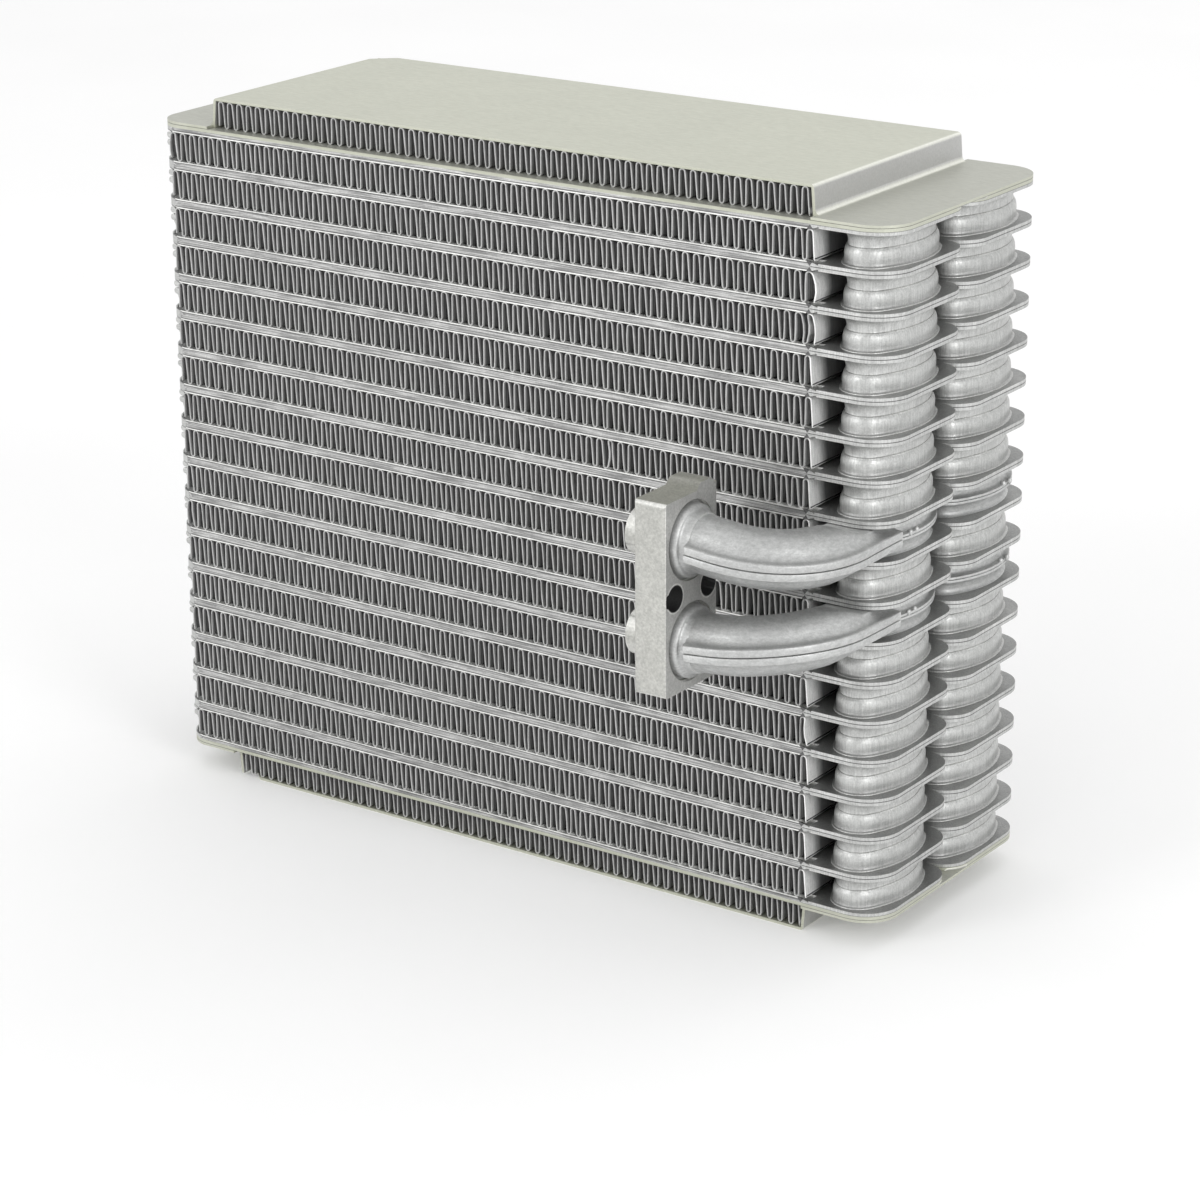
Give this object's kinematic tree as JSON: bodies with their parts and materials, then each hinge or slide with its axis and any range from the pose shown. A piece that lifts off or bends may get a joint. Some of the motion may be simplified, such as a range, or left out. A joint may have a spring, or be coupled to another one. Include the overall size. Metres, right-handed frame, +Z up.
{
  "type": "evaporator core",
  "caption": "Laminated refrigerant evaporator core: brazed plate tubes with folded fins, stacked cup tanks, end covers, and pipes to a bolted valve block.",
  "frame": {"origin": "middle of the lower cover's flat underside, on which the core stands", "axes": "+X along the tubes towards the tanks, +Y to the back of the core, +Z up through the stack"},
  "size_m": [0.2839, 0.1385, 0.2379],
  "materials": {
    "plate": "satin brazed sheet",
    "fin": "satin thin strip",
    "cover": "matt brazed sheet",
    "block": "fine blasted",
    "pipe": "satin brazed"
  },
  "bodies": {
    "root": {"top_cover": "cover", "bottom_cover": "cover", "valve_block": "block", "upper_pipe_upper_half": "pipe", "upper_pipe_lower_half": "pipe", "lower_pipe_upper_half": "pipe", "lower_pipe_lower_half": "pipe", "tube_02_upper_plate": "plate", "tube_03_upper_plate": "plate", "tube_04_upper_plate": "plate", "tube_05_upper_plate": "plate", "tube_06_upper_plate": "plate", "tube_07_upper_plate": "plate", "tube_08_upper_plate": "plate", "tube_09_upper_plate": "plate", "tube_10_upper_plate": "plate", "tube_11_upper_plate": "plate", "tube_12_upper_plate": "plate", "tube_13_upper_plate": "plate", "tube_14_upper_plate": "plate", "tube_15_upper_plate": "plate", "tube_16_upper_plate": "plate", "tube_17_upper_plate": "plate", "tube_18_upper_plate": "plate", "tube_01_lower_plate": "plate", "tube_02_lower_plate": "plate", "tube_03_lower_plate": "plate", "tube_04_lower_plate": "plate", "tube_05_lower_plate": "plate", "tube_06_lower_plate": "plate", "tube_07_lower_plate": "plate", "tube_08_lower_plate": "plate", "tube_09_lower_plate": "plate", "tube_10_lower_plate": "plate", "tube_11_lower_plate": "plate", "tube_12_lower_plate": "plate", "tube_13_lower_plate": "plate", "tube_14_lower_plate": "plate", "tube_15_lower_plate": "plate", "tube_16_lower_plate": "plate", "tube_17_lower_plate": "plate", "fin_01": "fin", "fin_02": "fin", "fin_03": "fin", "fin_04": "fin", "fin_05": "fin", "fin_06": "fin", "fin_07": "fin", "fin_08": "fin", "fin_09": "fin", "fin_10": "fin", "fin_11": "fin", "fin_12": "fin", "fin_13": "fin", "fin_14": "fin", "fin_15": "fin", "fin_16": "fin", "fin_17": "fin", "fin_18": "fin", "fin_19": "fin"}
  },
  "joints": []
}
